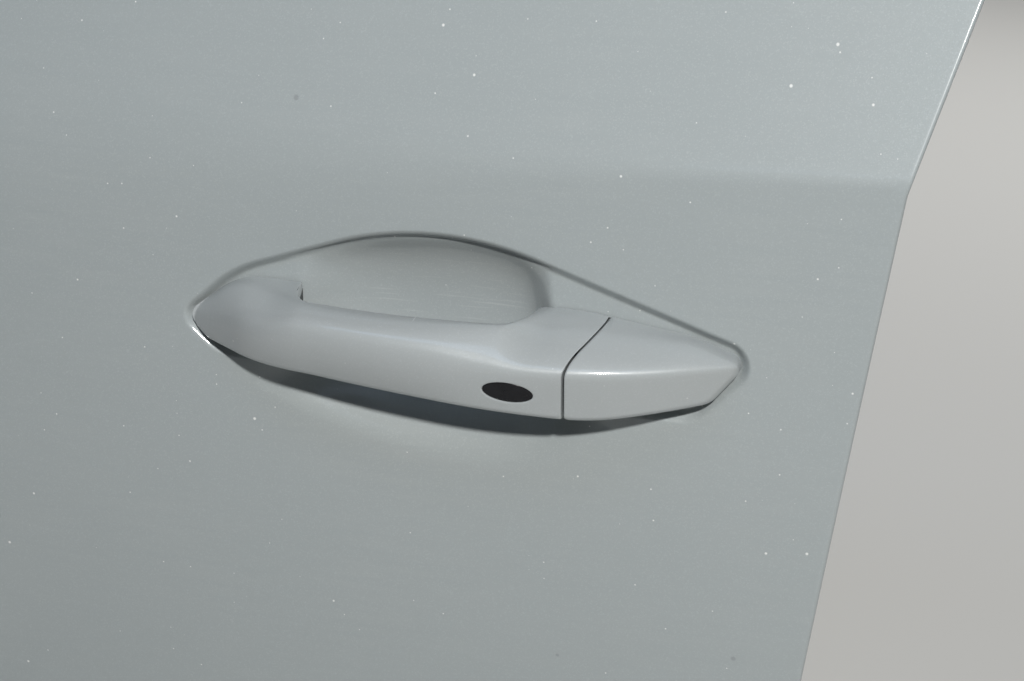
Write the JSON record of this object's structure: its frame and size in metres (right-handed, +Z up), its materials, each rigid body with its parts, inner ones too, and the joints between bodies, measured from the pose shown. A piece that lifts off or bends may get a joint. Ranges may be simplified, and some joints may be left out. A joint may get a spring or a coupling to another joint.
{
  "type": "exterior car door pull handle",
  "caption": "Pull handle of a car door in a dished pocket of its outer skin, with hinged grip, fixed cap, lock and bell crank.",
  "frame": {"origin": "on the door skin's outer face, about 122 mm behind the grip's front tip, near the middle of the handle", "axes": "+X along the handle to the car's rear, +Y into the door, +Z up"},
  "size_m": [0.4572, 0.1036, 0.393],
  "materials": {
    "skin_paint": "metallic grey-silver paint under clear coat",
    "handle_paint": "metallic grey-silver paint on moulded plastic",
    "rubber": "matt black",
    "black_nylon": "moulded, fine grain",
    "lens_black": "polished black",
    "zinc_steel": "zinc plated",
    "spring_steel": "drawn wire",
    "die_cast": "die-cast zinc",
    "acetal": "moulded, natural"
  },
  "bodies": {
    "root": {"door_skin": "skin_paint", "gasket_front": "rubber", "gasket_rear": "rubber", "carrier": "black_nylon", "carrier_screws": "zinc_steel", "cap_shell": "handle_paint", "lock_housing": "die_cast", "lock_barrel": "die_cast", "lock_paddle": "zinc_steel", "pivot_pin": "zinc_steel", "crank_pin": "zinc_steel", "return_spring": "spring_steel"},
    "grip": {"grip_shell": "handle_paint", "grip_base": "black_nylon", "sensor_lens": "lens_black"},
    "crank": {"bell_crank": "acetal", "counterweight": "zinc_steel", "claw_roller": "acetal"}
  },
  "joints": [
    {"name": "grip_pull", "type": "hinge", "parent": "root", "child": "grip", "pos_m": [-0.108, 0.0105, 0], "axis": [0, 0, -1], "range_deg": [0, 9], "stiffness_Nm_per_rad": 2, "springref_deg": -20.05},
    {"name": "crank_turn", "type": "hinge", "parent": "root", "child": "crank", "pos_m": [0.06, 0.02574, -0.03006], "axis": [1, 0, 0], "range_deg": [0, 54]}
  ],
  "couplings": [
    {"joint": "crank_turn", "follows": "grip_pull", "ratio": 6}
  ]
}
